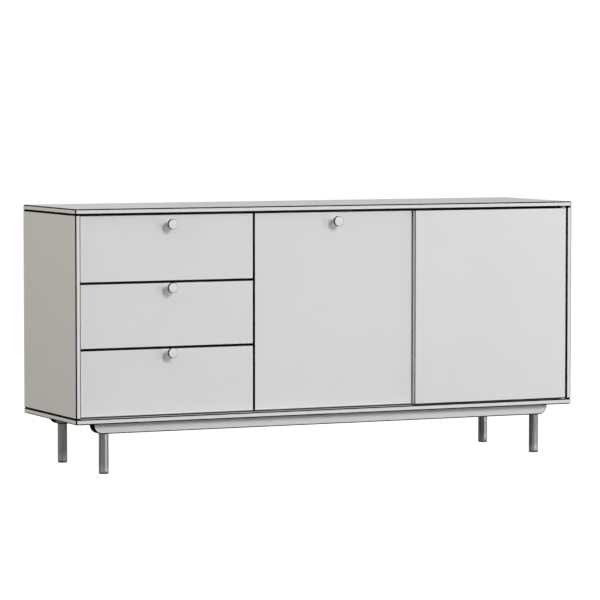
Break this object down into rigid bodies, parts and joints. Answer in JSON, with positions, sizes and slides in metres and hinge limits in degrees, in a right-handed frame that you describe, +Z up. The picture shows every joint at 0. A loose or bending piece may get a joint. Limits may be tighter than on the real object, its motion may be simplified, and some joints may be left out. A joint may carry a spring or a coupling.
{
  "type": "sideboard",
  "caption": "Long low sideboard in white laminate with drawers, a drop-down flap and a hinged door, on two rails with round steel legs.",
  "frame": {"origin": "middle of the overall footprint, knobs included, at floor level", "axes": "+X along the length, to the right seen from the front; +Y to the back; +Z up"},
  "size_m": [1.6, 0.443, 0.758],
  "materials": {
    "white_laminate": "satin white laminate on a black core",
    "back_board": "satin white hardboard",
    "drawer_board": "satin white melamine board",
    "drawer_bottom_board": "satin white hardboard",
    "knob_white": "satin white with a black rim",
    "leg_steel": "brushed along the tube",
    "glide_plastic": "matte black",
    "runner_steel": "zinc plated",
    "bracket_steel": "nickel plated",
    "screw_steel": "zinc plated",
    "pin_steel": "nickel plated",
    "zinc": "die-cast zinc",
    "white_plastic": "moulded white"
  },
  "bodies": {
    "carcass": {"top_panel": "white_laminate", "bottom_panel": "white_laminate", "side_panel_left": "white_laminate", "side_panel_right": "white_laminate", "partition_left": "white_laminate", "partition_right": "white_laminate", "back_panel": "back_board", "cam_locks": "zinc", "cam_bolts": "screw_steel", "shelf_centre": "white_laminate", "shelf_right": "white_laminate", "shelf_pins": "pin_steel", "rail_front": "white_laminate", "rail_rear": "white_laminate", "rail_screws": "screw_steel", "leg_front_left": "leg_steel", "leg_front_right": "leg_steel", "leg_rear_left": "leg_steel", "leg_rear_right": "leg_steel", "leg_glides": "glide_plastic", "runners_outer": "runner_steel", "flap_brackets": "bracket_steel", "door_bushes": "white_plastic", "magnet_catches": "white_plastic"},
    "drawer_top": {"drawer_top_front": "white_laminate", "drawer_top_side_left": "drawer_board", "drawer_top_side_right": "drawer_board", "drawer_top_back": "drawer_board", "drawer_top_bottom": "drawer_bottom_board", "drawer_top_knob": "knob_white", "drawer_top_knob_screw": "screw_steel", "drawer_top_runners_inner": "runner_steel"},
    "runners_top": {"drawer_top_runners_middle": "runner_steel"},
    "drawer_mid": {"drawer_mid_front": "white_laminate", "drawer_mid_side_left": "drawer_board", "drawer_mid_side_right": "drawer_board", "drawer_mid_back": "drawer_board", "drawer_mid_bottom": "drawer_bottom_board", "drawer_mid_knob": "knob_white", "drawer_mid_knob_screw": "screw_steel", "drawer_mid_runners_inner": "runner_steel"},
    "runners_mid": {"drawer_mid_runners_middle": "runner_steel"},
    "drawer_low": {"drawer_low_front": "white_laminate", "drawer_low_side_left": "drawer_board", "drawer_low_side_right": "drawer_board", "drawer_low_back": "drawer_board", "drawer_low_bottom": "drawer_bottom_board", "drawer_low_knob": "knob_white", "drawer_low_knob_screw": "screw_steel", "drawer_low_runners_inner": "runner_steel"},
    "runners_low": {"drawer_low_runners_middle": "runner_steel"},
    "flap": {"flap_panel": "white_laminate", "flap_knob": "knob_white", "flap_knob_screw": "screw_steel", "flap_pins": "screw_steel", "flap_strike": "bracket_steel"},
    "door": {"door_panel": "white_laminate", "door_pins": "screw_steel", "door_strike": "bracket_steel"}
  },
  "joints": [
    {"name": "drawer_top_slide", "type": "slide", "parent": "carcass", "child": "drawer_top", "axis": [0, -1, 0], "range_m": [0, 0.31]},
    {"name": "runners_top_slide", "type": "slide", "parent": "carcass", "child": "runners_top", "axis": [0, -1, 0], "range_m": [0, 0.155]},
    {"name": "drawer_mid_slide", "type": "slide", "parent": "carcass", "child": "drawer_mid", "axis": [0, -1, 0], "range_m": [0, 0.31]},
    {"name": "runners_mid_slide", "type": "slide", "parent": "carcass", "child": "runners_mid", "axis": [0, -1, 0], "range_m": [0, 0.155]},
    {"name": "drawer_low_slide", "type": "slide", "parent": "carcass", "child": "drawer_low", "axis": [0, -1, 0], "range_m": [0, 0.31]},
    {"name": "runners_low_slide", "type": "slide", "parent": "carcass", "child": "runners_low", "axis": [0, -1, 0], "range_m": [0, 0.155]},
    {"name": "flap_hinge", "type": "hinge", "parent": "carcass", "child": "flap", "pos_m": [0.015, -0.1785, 0.1735], "axis": [1, 0, 0], "range_deg": [0, 90]},
    {"name": "door_hinge", "type": "hinge", "parent": "carcass", "child": "door", "pos_m": [0.77375, -0.1945, 0.452], "axis": [0, 0, 1], "range_deg": [0, 100]}
  ],
  "couplings": [
    {"joint": "runners_top_slide", "follows": "drawer_top_slide", "ratio": 0.5},
    {"joint": "runners_mid_slide", "follows": "drawer_mid_slide", "ratio": 0.5},
    {"joint": "runners_low_slide", "follows": "drawer_low_slide", "ratio": 0.5}
  ]
}
